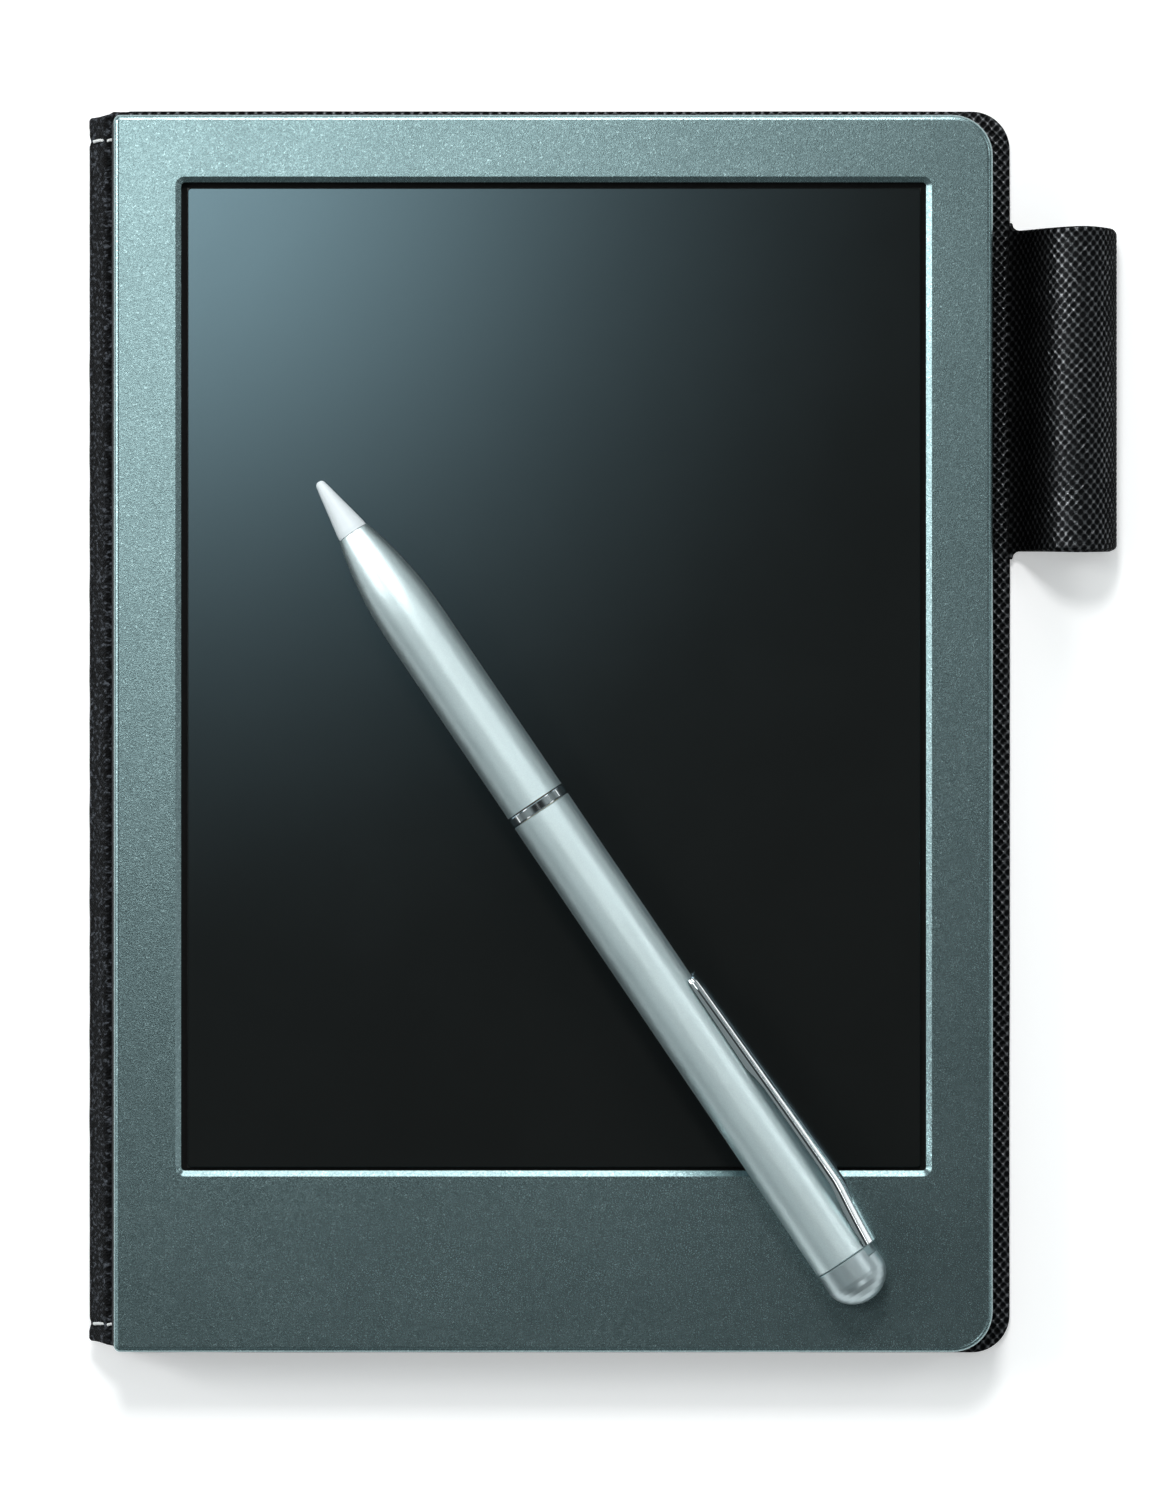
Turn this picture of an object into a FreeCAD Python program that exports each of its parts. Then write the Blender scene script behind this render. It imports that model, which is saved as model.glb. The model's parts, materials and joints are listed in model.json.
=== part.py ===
import FreeCAD, Part
import os
import math

os.makedirs("parts", exist_ok=True)

# ---------------------------------------------------------------------------
# Electronic memo tablet with folio cover and stylus.  All sizes in mm.
# Frame: X to the right, Y towards the top edge of the tablet, +Z up.  The
# tablet lies face up on its folded-back cover; the origin is on the underside
# of the cover, under the middle of the tablet.
# ---------------------------------------------------------------------------

# tablet outline
W = 110.5            # width of the housing
H = 155.1            # height of the housing
XL, XR = -W / 2, W / 2
YB, YT = -H / 2, H / 2
BEZEL_SET = 0.3      # the silver front frame is this much narrower on the left
R_FREE = 5.1         # corner radius on the free side (right)
R_SPINE = 1.3        # corner radius on the spine side (left)
R_SPINE_BEZEL = 0.8

# height levels
Z_COVER = 1.6        # top of the folded cover
Z_REAR = 1.75        # underside of the rear case
Z_SPLIT = 8.75       # parting line between rear case and front frame
Z_TOP = 10.95        # front face of the front frame
T_BEZEL = 1.3        # thickness of the front frame plate
T_FLOOR = 1.4        # thickness of the rear floor
T_WALL = 1.5
Z_FLOOR = Z_REAR + T_FLOOR

# window and glass
WX0, WX1 = -46.5, 46.9
WY0, WY1 = -54.8, 69.1
R_WIN = 0.5
CH_W = 0.7           # width of the bevel round the window
CH_D = 0.45          # its depth
GX0, GX1 = -45.7, 46.2
GY0, GY1 = -54.4, 68.4
Z_GLASS = 10.2
T_GLASS = 0.85

# cover
CX1 = 57.8           # free edge of the cover
CY0, CY1 = -78.2, 78.6
R_COVER = 4.8
T_LINING, T_BOARD, T_LEATHER = 0.35, 0.75, 0.45

# spine hinge lines (x, z), all parallel to Y
H1 = (-55.95, 6.35)
H2 = (-57.9, 3.7)
H3 = (-54.9, 0.85)
HINGE_GAP = 0.65     # bare length of fabric left free at each hinge line
T_SPINE = 0.9
SY0, SY1 = -76.9, 77.6

# pen loop
LY0, LY1 = 23.0, 63.5
LX1 = 71.3
T_LOOP = 0.8

# stylus
PEN_TIP = (-29.16, 31.44)
PEN_END = (39.87, -70.56)
PEN_R = 4.0
PEN_CLEAR = 0.15
U_NIB = 7.7
U_RING0, U_RING1 = 48.3, 49.6
U_CAP = 117.3
PEN_L = math.hypot(PEN_END[0] - PEN_TIP[0], PEN_END[1] - PEN_TIP[1])
CLIP_AZ = 27.0       # how far the clip stands up from the level, degrees


# ------------------------------------------------------------------ helpers
V = FreeCAD.Vector


def box(x0, x1, y0, y1, z0, z1):
    return Part.makeBox(x1 - x0, y1 - y0, z1 - z0, V(x0, y0, z0))


def cyl(x, y, z0, z1, r):
    return Part.makeCylinder(r, z1 - z0, V(x, y, z0), V(0, 0, 1))


def rr_wire(x0, x1, y0, y1, z, rl, rr):
    """Closed outline at height z; rl = radius of the two left corners, rr = right."""
    c = math.sqrt(0.5)
    e = []

    def seg(a, b):
        if (a - b).Length > 1e-6:
            e.append(Part.makeLine(a, b))

    seg(V(x0 + rl, y0, z), V(x1 - rr, y0, z))
    e.append(Part.Arc(V(x1 - rr, y0, z), V(x1 - rr + rr * c, y0 + rr - rr * c, z), V(x1, y0 + rr, z)).toShape())
    seg(V(x1, y0 + rr, z), V(x1, y1 - rr, z))
    e.append(Part.Arc(V(x1, y1 - rr, z), V(x1 - rr + rr * c, y1 - rr + rr * c, z), V(x1 - rr, y1, z)).toShape())
    seg(V(x1 - rr, y1, z), V(x0 + rl, y1, z))
    e.append(Part.Arc(V(x0 + rl, y1, z), V(x0 + rl - rl * c, y1 - rl + rl * c, z), V(x0, y1 - rl, z)).toShape())
    seg(V(x0, y1 - rl, z), V(x0, y0 + rl, z))
    e.append(Part.Arc(V(x0, y0 + rl, z), V(x0 + rl - rl * c, y0 + rl - rl * c, z), V(x0 + rl, y0, z)).toShape())
    return Part.Wire(e)


def rr(x0, x1, y0, y1, z0, z1, rl, rr_):
    return Part.Face(rr_wire(x0, x1, y0, y1, z0, rl, rr_)).extrude(V(0, 0, z1 - z0))


def prism_y(pts, y0, y1):
    """Extrude a closed (x, z) outline along Y."""
    w = Part.makePolygon([V(x, y0, z) for x, z in pts] + [V(pts[0][0], y0, pts[0][1])])
    return Part.Face(w).extrude(V(0, y1 - y0, 0))


def edges_at_z(s, z, tol=1e-4):
    out = []
    for ed in s.Edges:
        b = ed.BoundBox
        if abs(b.ZMin - z) < tol and abs(b.ZMax - z) < tol:
            out.append(ed)
    return out


def cut(a, *bs):
    for b in bs:
        a = a.cut(b)
    return a


def fuse(*bs):
    a = bs[0]
    for b in bs[1:]:
        a = a.fuse(b)
    return a.removeSplitter()


def save(name, *shapes):
    if len(shapes) == 1:
        s = shapes[0]
        if len(s.Solids) == 1:
            s = s.Solids[0]
    else:
        sol = []
        for q in shapes:
            sol += q.Solids
        s = Part.makeCompound(sol)
    if not s.isValid():
        print("INVALID", name)
    s.exportStep("parts/" + name + ".step")
    b = s.BoundBox
    print("%-24s solids %d vol %9.1f  x %.2f..%.2f y %.2f..%.2f z %.2f..%.2f" % (
        name, len(s.Solids), s.Volume, b.XMin, b.XMax, b.YMin, b.YMax, b.ZMin, b.ZMax))


# ---------------------------------------------------------------- positions
BOSSES = [(-50.6, 73.7), (50.2, 73.6), (-50.6, -73.7), (50.2, -73.6)]
SLOT_Y = 70.3         # half length of the slot that holds the spine fabric
CLAMP_Y = [-66.0, -33.0, 0.0, 33.0, 66.0]
CLAMP_X = -52.35
USB_X = 0.0
LIGHT_X = 12.0
RESET_XY = (24.0, -60.0)
BTN_X = 34.0          # power button, on the top edge
PCB_X0, PCB_X1, PCB_Y0, PCB_Y1 = -46.0, 46.0, -75.3, -40.0
PCB_Z0, PCB_Z1 = 4.5, 5.4

# ----------------------------------------------------------------- rear case
outer = rr(XL, XR, YB, YT, Z_REAR, Z_SPLIT, R_SPINE, R_FREE)
outer = outer.makeFillet(1.25, edges_at_z(outer, Z_REAR))
inner = rr(XL + T_WALL, XR - T_WALL, YB + T_WALL, YT - T_WALL, Z_FLOOR, Z_SPLIT + 1, 0.6, R_FREE - T_WALL)
rear = outer.cut(inner)
# ledge under the fabric anchor, with its screw holes
ledge = box(XL + T_WALL - 0.2, -51.0, -SLOT_Y - 0.3, SLOT_Y + 0.3, Z_FLOOR - 0.2, 5.9)
rear = rear.fuse(ledge)
# ribs that carry the chassis plate
rear = rear.fuse(box(51.2, XR - T_WALL + 0.2, -66.0, 66.0, Z_FLOOR - 0.2, 6.4))
rear = rear.fuse(box(-40.0, 24.0, 72.6, YT - T_WALL + 0.2, Z_FLOOR - 0.2, 6.4))
rear = rear.fuse(box(-46.0, 46.0, -39.2, -38.2, Z_FLOOR - 0.2, 6.4).cut(box(7.4, 11.6, -40, -37, 3.6, 6.5)))
# board posts
for (x, y) in [(-42.0, -72.0), (42.0, -72.0), (-42.0, -43.0), (42.0, -43.0)]:
    rear = rear.fuse(cyl(x, y, Z_FLOOR - 0.2, PCB_Z0 - 0.05, 2.0))
# screw pads
for (x, y) in BOSSES:
    rear = rear.fuse(cyl(x, y, Z_FLOOR - 0.2, 3.9, 2.3))
rear = rear.removeSplitter()
for (x, y) in BOSSES:
    rear = cut(rear, cyl(x, y, Z_REAR - 1, 5.0, 0.95), cyl(x, y, Z_REAR - 1, Z_REAR + 1.25, 1.85))
for y in CLAMP_Y:
    rear = rear.cut(cyl(CLAMP_X, y, 3.6, 7.0, 0.72))
# slot in the spine-side wall for the fabric anchor
rear = rear.cut(box(XL - 1, XL + T_WALL + 0.5, -SLOT_Y, SLOT_Y, 5.92, 6.78))
# ports and openings
rear = rear.cut(rr(USB_X - 4.1, USB_X + 4.1, -1.6, 1.6, 0, 6, 0.6, 0.6)
                .rotated(V(0, 0, 0), V(1, 0, 0), 90).translated(V(0, YB + 4.5, 6.75)))
rear = rear.cut(Part.makeCylinder(0.76, 3.0, V(LIGHT_X, YB - 1, 6.75), V(0, 1, 0)))
rear = rear.cut(cyl(RESET_XY[0], RESET_XY[1], 0, 5, 0.6))
rear = rear.cut(rr(BTN_X - 4.1, BTN_X + 4.1, -1.05, 1.05, 0, 6, 1.0, 1.0)
                .rotated(V(0, 0, 0), V(1, 0, 0), -90).translated(V(0, YT - 4.5, 5.35)))
save("rear_case", rear)

# ------------------------------------------------------- silver front frame
bz = rr(XL + BEZEL_SET, XR, YB, YT, Z_SPLIT + 0.05, Z_TOP, R_SPINE_BEZEL, R_FREE)
bz = bz.makeFillet(0.7, edges_at_z(bz, Z_TOP))
bz = bz.cut(rr(XL + T_WALL, XR - T_WALL, YB + T_WALL, YT - T_WALL, Z_SPLIT - 1, Z_TOP - T_BEZEL,
               0.6, R_FREE - T_WALL))
bz = bz.cut(rr(WX0, WX1, WY0, WY1, 5, 12, R_WIN, R_WIN))
bev = Part.makeLoft([
    rr_wire(WX0, WX1, WY0, WY1, Z_TOP - CH_D, R_WIN, R_WIN),
    rr_wire(WX0 - CH_W * 1.2, WX1 + CH_W * 1.2, WY0 - CH_W * 1.2, WY1 + CH_W * 1.2,
            Z_TOP + CH_D * 0.2, 1.3, 1.3)], True, True)
bz = bz.cut(bev)
# locating lip inside the rear case: top, bottom and free side
lip_o = rr(XL + 4.0, XR - T_WALL - 0.05, YB + T_WALL + 0.05, YT - T_WALL - 0.05, 7.95, Z_SPLIT + 1.0,
           0.6, R_FREE - T_WALL - 0.05)
lip_i = rr(XL + 3.2, XR - T_WALL - 0.85, YB + T_WALL + 0.85, YT - T_WALL - 0.85, 7, Z_SPLIT + 2.0,
           0.4, R_FREE - T_WALL - 0.85)
lip = lip_o.cut(lip_i).cut(box(XL, XL + 6.0, YB, YT, 7, 11))
lip = lip.cut(box(USB_X - 5, USB_X + 5, YB, YB + 8, 7, 9.6)).cut(box(BTN_X - 6, BTN_X + 6, YT - 8, YT, 7, 9.6))
bz = bz.fuse(lip)
for (x, y) in BOSSES:
    b = cyl(x, y, 3.95, Z_TOP - T_BEZEL + 0.3, 2.1)
    bz = bz.fuse(b)
bz = bz.removeSplitter()
for (x, y) in BOSSES:
    bz = bz.cut(cyl(x, y, 3.0, 8.2, 0.88))
save("front_bezel", bz)

# -------------------------------------------------- display stack in window
glass = rr(GX0, GX1, GY0, GY1, Z_GLASS - T_GLASS, Z_GLASS, 0.5, 0.5)
glass = glass.makeChamfer(0.12, edges_at_z(glass, Z_GLASS))
save("touch_panel", glass)
LX0m, LX1m, LY0m, LY1m = -50.4, 51.0, -59.5, 71.1
lcd = box(LX0m, LX1m, LY0m, LY1m, 7.05, 9.15)
lcd = lcd.makeFillet(0.3, [e for e in lcd.Edges if abs(e.BoundBox.ZLength - 2.1) < 1e-3])
save("lcd_module", lcd)
tape = box(GX0 + 0.2, GX1 - 0.2, GY0 + 0.2, GY1 - 0.2, 9.18, 9.32).cut(
    box(GX0 + 2.0, GX1 - 2.0, GY0 + 2.0, GY1 - 2.0, 9, 9.6))
save("display_tape", tape)
gasket = rr(GX0 - 2.9, GX1 + 2.9, GY0 - 2.9, GY1 + 2.2, 9.2, 9.6, 1.0, 1.0).cut(
    box(GX0 - 0.08, GX1 + 0.08, GY0 - 0.08, GY1 + 0.08, 9, 10))
save("screen_gasket", gasket)
# sheet-metal chassis under the display
plate = box(-50.4, 51.0, -60.0, 71.1, 6.45, 6.95)
for (x, y) in [(-30, 20), (0, 20), (30, 20), (-30, 52), (0, 52), (30, 52), (-30, -12), (30, -12), (0, -12)]:
    plate = plate.cut(rr(x - 11, x + 11, y - 11, y + 11, 6, 8, 2, 2))
tab = box(20.0, 30.0, -63.2, -59.8, 6.45, 6.95)
plate = plate.fuse(tab).fuse(box(-30.0, -20.0, -63.2, -59.8, 6.45, 6.95)).removeSplitter()
save("chassis_plate", plate)

# ------------------------------------------------------------- electronics
pcb = box(PCB_X0, PCB_X1, PCB_Y0, PCB_Y1, PCB_Z0, PCB_Z1)
for (x, y) in BOSSES:
    pcb = pcb.cut(cyl(x, y, 3, 8, 2.6))
for (x, y) in [(-42.0, -72.0), (42.0, -72.0), (-42.0, -43.0), (42.0, -43.0)]:
    pcb = pcb.cut(cyl(x, y, 3, 8, 0.8))
pcb = pcb.cut(box(10.0, 14.6, PCB_Y0 - 1, PCB_Y0 + 0.9, 3, 8))
save("main_board", pcb)
save("processor_chip", box(-22.0, -10.0, -57.0, -45.0, 3.45, 4.46))
save("memory_chips", box(-6.0, 4.0, -57.0, -43.5, 3.5, 4.46), box(7.0, 15.0, -57.0, -47.0, 3.5, 4.46))
shield = box(-36.0, -24.0, -58.0, -44.0, 3.3, 4.46).cut(box(-35.8, -24.2, -57.8, -44.2, 3.5, 5))
save("shield_can", shield)
save("flex_connectors", box(-12.0, 12.0, -67.0, -64.4, 5.44, 6.3), box(32.0, 40.0, -67.0, -64.4, 5.44, 6.3),
     box(7.5, 11.5, -44.6, -41.6, 5.44, 6.3))


def strip_yz(pts, t, x0, x1):
    """Ribbon of thickness t following (y, z) points, x0..x1 wide."""
    n = len(pts)
    off = []
    for i in range(n):
        a = pts[max(i - 1, 0)]
        b = pts[min(i + 1, n - 1)]
        d = math.hypot(b[0] - a[0], b[1] - a[1])
        off.append((-(b[1] - a[1]) / d, (b[0] - a[0]) / d))
    left = [(p[0] + o[0] * t / 2, p[1] + o[1] * t / 2) for p, o in zip(pts, off)]
    right = [(p[0] - o[0] * t / 2, p[1] - o[1] * t / 2) for p, o in zip(pts, off)]
    ring = left + right[::-1]
    w = Part.makePolygon([V(x0, y, z) for y, z in ring] + [V(x0, ring[0][0], ring[0][1])])
    return Part.Face(w).extrude(V(x1 - x0, 0, 0))


save("lcd_flex", strip_yz([(-59.6, 8.1), (-61.2, 8.1), (-62.4, 7.9), (-63.1, 7.3), (-63.3, 6.6),
                           (-63.6, 6.1), (-64.3, 5.9)], 0.16, -10.0, 10.0))
save("touch_flex", strip_yz([(-57.4, 9.31), (-59.4, 9.3), (-61.6, 9.1), (-63.3, 8.4), (-63.9, 7.4),
                             (-64.5, 6.7), (-66.0, 6.42)], 0.12, 33.0, 39.0)
     .cut(rr(GX0 - 3.1, GX1 + 3.1, GY0 - 3.1, GY1 + 2.2, 9.15, 9.7, 1.0, 1.0)).cut(
    box(LX0m - 0.1, LX1m + 0.1, LY0m - 0.1, LY1m, 7, 9.2)))
battery = rr(-34.0, 34.0, -34.0, 44.0, 3.25, 6.3, 2.0, 2.0)
battery = battery.makeFillet(0.6, edges_at_z(battery, 6.3))
save("battery_pack", battery)
save("battery_lead", strip_yz([(-34.25, 4.3), (-35.6, 4.35), (-37.2, 4.75), (-38.7, 5.4), (-39.9, 5.85), (-41.5, 5.95)],
                              0.6, 8.0, 11.0))
# USB socket: shell with a tongue
usb = box(USB_X - 3.75, USB_X + 3.75, YB + 0.55, YB + 6.0, 5.45, 8.05)
usb = usb.cut(box(USB_X - 3.45, USB_X + 3.45, YB, YB + 5.4, 5.75, 7.75))
usb = usb.fuse(box(USB_X - 2.2, USB_X + 2.2, YB + 1.3, YB + 5.6, 6.55, 7.05)).removeSplitter()
save("usb_socket", usb)
save("charge_led", box(LIGHT_X - 0.8, LIGHT_X + 0.8, -73.5, -72.7, 5.45, 7.2))
save("charge_light_pipe", Part.makeCylinder(0.7, 3.95, V(LIGHT_X, YB + 0.02, 6.75), V(0, 1, 0)))
# power switch on its own small board near the top edge
save("button_board", box(27.0, 41.0, 72.3, 75.9, 3.2, 4.0))
save("power_switch", box(BTN_X - 2.3, BTN_X + 2.3, 72.5, 74.35, 4.05, 6.3))
save("reset_switch", box(RESET_XY[0] - 1.8, RESET_XY[0] + 1.8, RESET_XY[1] - 1.8, RESET_XY[1] + 1.8, 3.55, 4.46)
     .cut(cyl(RESET_XY[0], RESET_XY[1], 3, 4.3, 0.95)))
save("reset_button", cyl(RESET_XY[0], RESET_XY[1], 3.22, 3.98, 0.88))
# power button: cap, retaining flange, stem towards the switch
cap = rr(BTN_X - 4.02, BTN_X + 4.02, -0.97, 0.97, 0, 1.5, 0.95, 0.95).rotated(V(0, 0, 0), V(1, 0, 0), -90)
cap = cap.translated(V(0, YT - 1.55, 5.35))
btn = fuse(cap, box(BTN_X - 4.8, BTN_X + 4.8, YT - 2.15, YT - 1.52, 4.06, 6.75),
           box(BTN_X - 0.7, BTN_X + 0.7, 74.8, YT - 2.1, 4.9, 5.8))
save("power_button", btn)


def pan_screw(x, y, z_head0, z_head1, z_tip, r_head, r_shank, up=1):
    s = cyl(x, y, min(z_head0, z_head1), max(z_head0, z_head1), r_head)
    s = s.fuse(cyl(x, y, min(z_head1, z_tip) - 0.01, max(z_head1, z_tip), r_shank)) if up > 0 else \
        s.fuse(cyl(x, y, z_tip, z_head0 + 0.01, r_shank))
    zf = z_head0 if up > 0 else z_head1
    a = box(x - r_head * 0.62, x + r_head * 0.62, y - 0.16, y + 0.16, zf - 0.5, zf + 0.5)
    b = box(x - 0.16, x + 0.16, y - r_head * 0.62, y + r_head * 0.62, zf - 0.5, zf + 0.5)
    return s.cut(a).cut(b).removeSplitter()


save("case_screws", *[pan_screw(x, y, Z_REAR + 0.25, Z_REAR + 1.22, 8.0, 1.65, 0.83) for x, y in BOSSES])
save("board_screws", *[fuse(cyl(x, y, PCB_Z1 + 0.03, PCB_Z1 + 0.8, 1.4), cyl(x, y, PCB_Z0 + 0.02, PCB_Z1 + 0.1, 0.72))
                       for x, y in [(-42.0, -72.0), (42.0, -72.0), (-42.0, -43.0), (42.0, -43.0)]])
# clamp that holds the fabric of the spine in the wall of the tablet
bar = box(-53.7, -51.0, -SLOT_Y, SLOT_Y, 6.8, 7.6)
for y in CLAMP_Y:
    bar = bar.cut(cyl(CLAMP_X, y, 5, 9, 0.72))
save("spine_clamp_bar", bar)
anchor = box(XL - 0.1, -51.1, -SLOT_Y + 0.1, SLOT_Y - 0.1, 5.95, 6.75)
for y in CLAMP_Y:
    anchor = anchor.cut(cyl(CLAMP_X, y, 5, 8, 0.72))
save("spine_anchor", anchor)
save("clamp_screws", *[pan_screw(CLAMP_X, y, 7.63, 8.2, 3.8, 1.2, 0.66, up=-1) for y in CLAMP_Y])

# ------------------------------------------------------------ folded spine


def link(a, b, y0, y1, t):
    dx, dz = b[0] - a[0], b[1] - a[1]
    L = math.hypot(dx, dz)
    ux, uz = dx / L, dz / L
    nx, nz = -uz, ux
    p = (a[0] + ux * HINGE_GAP, a[1] + uz * HINGE_GAP)
    q = (b[0] - ux * HINGE_GAP, b[1] - uz * HINGE_GAP)
    h = t / 2
    s = prism_y([(p[0] - nx * h, p[1] - nz * h), (q[0] - nx * h, q[1] - nz * h),
                 (q[0] + nx * h, q[1] + nz * h), (p[0] + nx * h, p[1] + nz * h)], y0, y1)
    ed = [e for e in s.Edges if abs(e.BoundBox.YLength - (y1 - y0)) < 1e-3]
    return s.makeFillet(0.2, ed)


save("spine_upper_strip", link(H1, H2, SY0, SY1, T_SPINE))
save("spine_lower_strip", link(H2, H3, SY0, SY1, T_SPINE))


def stitch(a, b, y, t, f0, f1, r=0.17):
    """One thread lying on the outer face of a strip, across its width."""
    dx, dz = b[0] - a[0], b[1] - a[1]
    L = math.hypot(dx, dz)
    ux, uz = dx / L, dz / L
    nx, nz = -uz, ux
    if nx > 0:
        nx, nz = -nx, -nz
    h = t / 2 + r + 0.02
    p = V(a[0] + dx * f0 + nx * h, y, a[1] + dz * f0 + nz * h)
    q = V(a[0] + dx * f1 + nx * h, y, a[1] + dz * f1 + nz * h)
    return Part.makeCylinder(r, (q - p).Length, p, q - p)


save("spine_stitches", *[stitch(H1, H2, y, T_SPINE, 0.26, 0.74) for y in (74.6, -74.3)])

# ------------------------------------------------------------------- cover
CX0 = H3[0] + HINGE_GAP
leather = rr(CX0, CX1, CY0, CY1, 0.1, Z_COVER, 1.0, R_COVER)
leather = leather.makeFillet(0.4, edges_at_z(leather, Z_COVER) )
leather = leather.cut(rr(CX0 + 1.0, CX1 - 1.0, CY0 + 1.0, CY1 - 1.0, -1, Z_COVER - T_LEATHER, 0.3, R_COVER - 1.0))
leather = leather.cut(box(CX1 - 2.0, CX1 + 1, LY0 - 0.05, LY1 + 0.05, 0.35, Z_COVER - T_LEATHER))
save("cover_leather", leather)
lin = rr(CX0 + 1.05, CX1 - 1.05, CY0 + 1.05, CY1 - 1.05, 0.0, T_LINING, 0.3, R_COVER - 1.05)
save("cover_lining", lin)
brd = rr(CX0 + 1.05, CX1 - 1.05, CY0 + 1.05, CY1 - 1.05, T_LINING + 0.03, T_LINING + T_BOARD, 0.3, R_COVER - 1.05)
brd = brd.cut(box(CX1 - 5.1, CX1 + 1, LY0 - 0.1, LY1 + 0.1, 0, 2))
save("cover_board", brd)

# pen loop: one band of leather bulging up beside the cover, its tail in the cover
loop_out = [(57.85, 0.0), (69.6, 0.0), (70.7, 0.55), (71.25, 1.8), (71.3, 3.6), (70.95, 5.6), (70.2, 7.6),
            (69.2, 9.2), (68.0, 10.2), (66.6, 10.6), (65.0, 10.45), (63.4, 9.6), (62.0, 8.1), (60.8, 6.1),
            (59.9, 4.2), (59.1, 2.8), (58.3, 1.9), (57.85, 1.6)]


def inset(pts, t):
    n = len(pts)
    out = []
    for i in range(n):
        a, b, c = pts[i - 1], pts[i], pts[(i + 1) % n]
        d1 = (b[0] - a[0], b[1] - a[1])
        d2 = (c[0] - b[0], c[1] - b[1])
        l1, l2 = math.hypot(*d1), math.hypot(*d2)
        n1 = (-d1[1] / l1, d1[0] / l1)
        n2 = (-d2[1] / l2, d2[0] / l2)
        m = (n1[0] + n2[0], n1[1] + n2[1])
        k = t / max(0.3, (m[0] * n1[0] + m[1] * n1[1]))
        out.append((b[0] + m[0] * k, b[1] + m[1] * k))
    return out


loop_in = inset(loop_out, T_LOOP)
loop_in = [p for p in loop_in if p[0] > 59.6 or p[1] < 1.0]
loop_in = [p for p in loop_in if p[0] > 59.0]
loop_in = [(59.45, T_LOOP)] + loop_in
loop = prism_y(loop_out, LY0, LY1).cut(prism_y(loop_in, LY0 - 1, LY1 + 1))
tail = box(CX1 - 5.0, CX1 + 0.2, LY0, LY1, T_LINING + 0.05, Z_COVER - T_LEATHER - 0.03)
loop = loop.fuse(tail).removeSplitter()
save("pen_loop", loop)

# ------------------------------------------------------------------ stylus
# Built along local +X from the tip, clip towards local +Z, then placed.


def rev(pts):
    """Revolve (u, r) points about the pen axis (local X)."""
    p = [V(u, 0, r) for u, r in pts]
    w = Part.makePolygon(p + [p[0]])
    return Part.Face(w).revolve(V(0, 0, 0), V(1, 0, 0), 360)


def rev_curve(spline_pts, rest):
    """Revolve a smooth outer profile closed by straight lines through rest."""
    bs = Part.BSplineCurve()
    bs.interpolate([V(u, 0, r) for u, r in spline_pts])
    e = [bs.toShape()]
    chain = [spline_pts[-1]] + rest + [spline_pts[0]]
    for a, b in zip(chain, chain[1:]):
        e.append(Part.makeLine(V(a[0], 0, a[1]), V(b[0], 0, b[1])))
    return Part.Face(Part.Wire(e)).revolve(V(0, 0, 0), V(1, 0, 0), 360)


slope = (Z_TOP - Z_GLASS) / (105.1 - 22.6)
tilt = math.atan(slope)
ang = math.atan2(PEN_END[1] - PEN_TIP[1], PEN_END[0] - PEN_TIP[0])
z_tip = Z_GLASS + PEN_CLEAR + PEN_R - 22.6 * slope
ex = V(math.cos(ang) * math.cos(tilt), math.sin(ang) * math.cos(tilt), math.sin(tilt))
side = V(-math.sin(ang), math.cos(ang), 0)          # level, towards the upper right
upv = ex.cross(side)
if upv.z < 0:
    upv = upv * -1
ca, sa = math.cos(math.radians(CLIP_AZ)), math.sin(math.radians(CLIP_AZ))
ez = side * ca + upv * sa
ey = ez.cross(ex)
PM = FreeCAD.Matrix(ex.x, ey.x, ez.x, PEN_TIP[0],
                    ex.y, ey.y, ez.y, PEN_TIP[1],
                    ex.z, ey.z, ez.z, z_tip,
                    0, 0, 0, 1)


def place(s):
    s = s.copy()
    s.Placement = FreeCAD.Placement(PM).multiply(s.Placement)
    return s


nib = rev([(0.0, 0.0), (0.03, 0.28), (0.14, 0.46), (0.34, 0.60), (1.2, 0.79), (3.0, 1.13), (5.2, 1.56), (7.0, 1.90),
           (7.62, 1.96), (7.62, 1.1), (16.0, 1.1), (16.0, 0.0)])
save("pen_nib", place(nib))
front = rev_curve([(7.7, 2.05), (8.8, 2.36), (10.0, 2.66), (12.1, 3.1), (14.2, 3.45), (16.2, 3.72), (18.4, 3.9),
                   (20.5, 3.975), (22.6, 4.0)],
                  [(48.2, 4.0), (48.2, 3.05), (27.0, 3.05), (27.0, 2.55), (10.6, 2.55), (10.6, 1.2), (7.7, 1.2)])
save("pen_front_barrel", place(front))
save("nib_holder", place(rev([(11.0, 1.16), (26.4, 1.16), (26.4, 2.48), (11.0, 2.48)])))
save("pen_spigot", place(rev([(30.0, 1.8), (57.0, 1.8), (57.0, 2.45), (48.9, 2.45), (48.1, 2.98), (30.0, 2.98)])))
save("pen_center_ring", place(rev([(U_RING0 + 0.12, 3.05), (U_RING1 - 0.12, 3.05), (U_RING1 - 0.12, 3.85),
                                   (U_RING1 - 0.05, 3.95), (U_RING1 - 0.2, 4.08), (U_RING0 + 0.2, 4.08),
                                   (U_RING0 + 0.05, 3.95), (U_RING0 + 0.12, 3.85)])))
save("pen_thread_insert", place(rev([(U_RING1 - 0.05, 2.5), (60.0, 2.5), (60.0, 3.15), (U_RING1 - 0.05, 3.15)])))
barrel = rev([(U_RING1 + 0.02, 3.2), (U_CAP - 0.12, 3.2), (U_CAP - 0.12, 3.9),
              (U_CAP - 0.22, PEN_R), (U_RING1 + 0.12, PEN_R), (U_RING1 + 0.02, 3.9)])
# pocket for the tail of the clip
barrel = barrel.cut(Part.makeBox(1.4, 2.7, 1.2, V(U_CAP - 1.0, -1.35, 3.15)))
save("pen_rear_barrel", place(barrel))
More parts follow.
